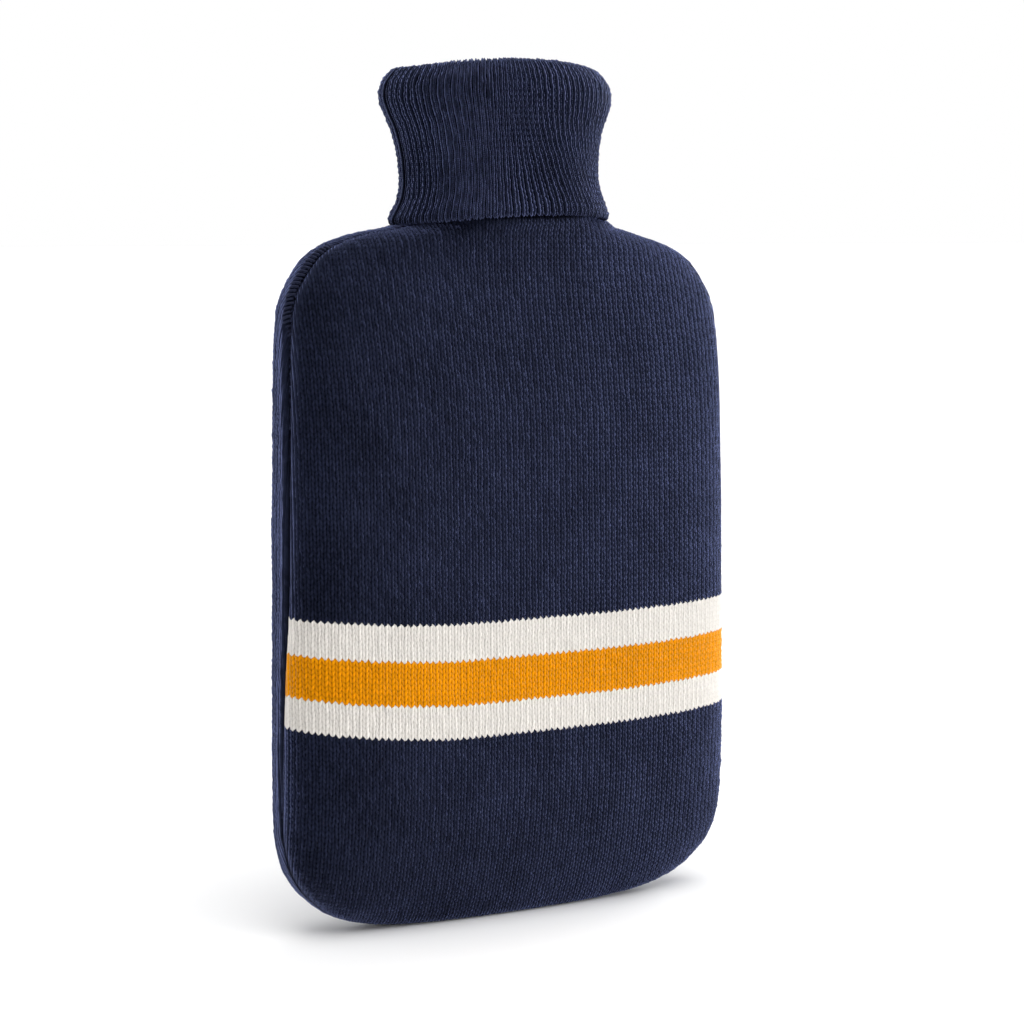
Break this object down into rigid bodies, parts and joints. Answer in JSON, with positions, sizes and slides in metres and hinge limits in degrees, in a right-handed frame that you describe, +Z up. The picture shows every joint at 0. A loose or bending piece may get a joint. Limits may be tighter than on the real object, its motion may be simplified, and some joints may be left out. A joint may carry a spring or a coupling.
{
  "type": "knitted hot water bottle cover",
  "caption": "Bottle-shaped knitted cover with a striped front panel, a plain back panel and a folded-down ribbed collar round the open neck.",
  "frame": {"origin": "on the floor under the middle of the cover's box", "axes": "+X across the cover towards its right seen from the front, -Y out of the striped front, +Z up to the open neck"},
  "size_m": [0.1994, 0.0636, 0.3383],
  "materials": {
    "navy_knit": "matt stocking-stitch knit, dark navy",
    "cream_knit": "matt stocking-stitch knit, off-white stripes of the front panel",
    "amber_knit": "matt stocking-stitch knit, amber yellow stripe of the front panel",
    "navy_rib": "matt rib knit, dark navy"
  },
  "bodies": {
    "root": {"front_panel": "navy_knit", "back_panel": "navy_knit", "collar": "navy_rib"}
  },
  "joints": []
}
